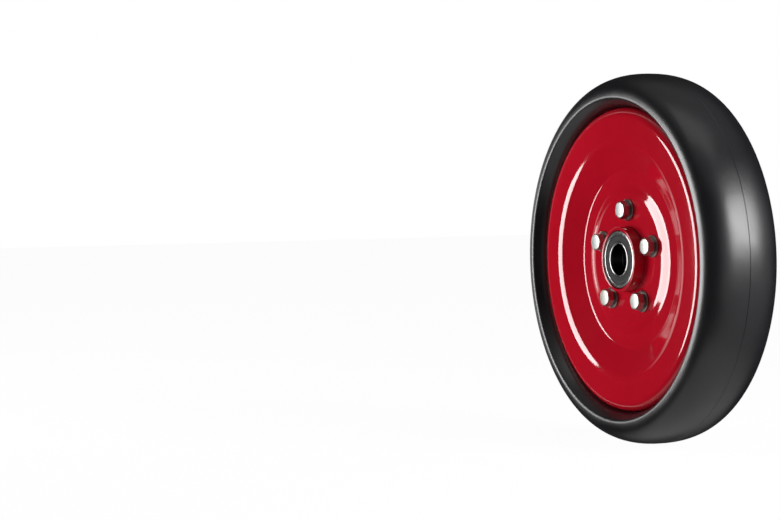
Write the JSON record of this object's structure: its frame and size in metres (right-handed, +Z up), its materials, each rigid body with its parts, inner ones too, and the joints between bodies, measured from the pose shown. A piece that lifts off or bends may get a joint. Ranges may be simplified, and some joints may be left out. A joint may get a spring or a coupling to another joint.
{
  "type": "press wheel",
  "caption": "Press wheel with a smooth domed rubber tyre on bolted red pressed-steel half rims, a spool hub and sealed ball bearings for a plain axle.",
  "frame": {"origin": "centre of the wheel, on its axis and in its middle plane", "axes": "+Y along the axle, away from the bolt heads; -Y is the front face with the bolt heads; +Z up through one bolt; +X to the right seen from the front"},
  "size_m": [0.3, 0.0676, 0.3],
  "materials": {
    "red_paint": "gloss enamel",
    "tyre_rubber": "smooth moulded",
    "zinc_plate": "bright zinc plate",
    "bearing_steel": "ground steel",
    "seal_rubber": "satin",
    "cage_nylon": "satin"
  },
  "bodies": {
    "axle_rings": {"front_bearing_inner_ring": "bearing_steel", "rear_bearing_inner_ring": "bearing_steel", "bearing_spacer": "bearing_steel"},
    "wheel": {"tyre": "tyre_rubber", "front_half_rim": "red_paint", "rear_half_rim": "red_paint", "hub": "red_paint", "bolt_1": "zinc_plate", "bolt_2": "zinc_plate", "bolt_3": "zinc_plate", "bolt_4": "zinc_plate", "bolt_5": "zinc_plate", "nut_1": "zinc_plate", "nut_2": "zinc_plate", "nut_3": "zinc_plate", "nut_4": "zinc_plate", "nut_5": "zinc_plate", "front_bearing_outer_ring": "bearing_steel", "rear_bearing_outer_ring": "bearing_steel", "front_bearing_outer_seal": "seal_rubber", "front_bearing_inner_seal": "seal_rubber", "rear_bearing_outer_seal": "seal_rubber", "rear_bearing_inner_seal": "seal_rubber"},
    "front_cage": {"front_bearing_cage": "cage_nylon", "front_bearing_ball_1": "bearing_steel", "front_bearing_ball_2": "bearing_steel", "front_bearing_ball_3": "bearing_steel", "front_bearing_ball_4": "bearing_steel", "front_bearing_ball_5": "bearing_steel", "front_bearing_ball_6": "bearing_steel", "front_bearing_ball_7": "bearing_steel", "front_bearing_ball_8": "bearing_steel", "front_bearing_ball_9": "bearing_steel", "front_bearing_ball_10": "bearing_steel"},
    "rear_cage": {"rear_bearing_cage": "cage_nylon", "rear_bearing_ball_1": "bearing_steel", "rear_bearing_ball_2": "bearing_steel", "rear_bearing_ball_3": "bearing_steel", "rear_bearing_ball_4": "bearing_steel", "rear_bearing_ball_5": "bearing_steel", "rear_bearing_ball_6": "bearing_steel", "rear_bearing_ball_7": "bearing_steel", "rear_bearing_ball_8": "bearing_steel", "rear_bearing_ball_9": "bearing_steel", "rear_bearing_ball_10": "bearing_steel"}
  },
  "joints": [
    {"name": "wheel_spin", "type": "hinge", "parent": "axle_rings", "child": "wheel", "pos_m": [0, 0, 0], "axis": [0, 1, 0], "continuous": true},
    {"name": "front_cage_spin", "type": "hinge", "parent": "axle_rings", "child": "front_cage", "pos_m": [0, -0.022, 0], "axis": [0, 1, 0], "continuous": true},
    {"name": "rear_cage_spin", "type": "hinge", "parent": "axle_rings", "child": "rear_cage", "pos_m": [0, 0.022, 0], "axis": [0, 1, 0], "continuous": true}
  ],
  "couplings": [
    {"joint": "front_cage_spin", "follows": "wheel_spin", "ratio": 0.5886},
    {"joint": "rear_cage_spin", "follows": "wheel_spin", "ratio": 0.5886}
  ]
}
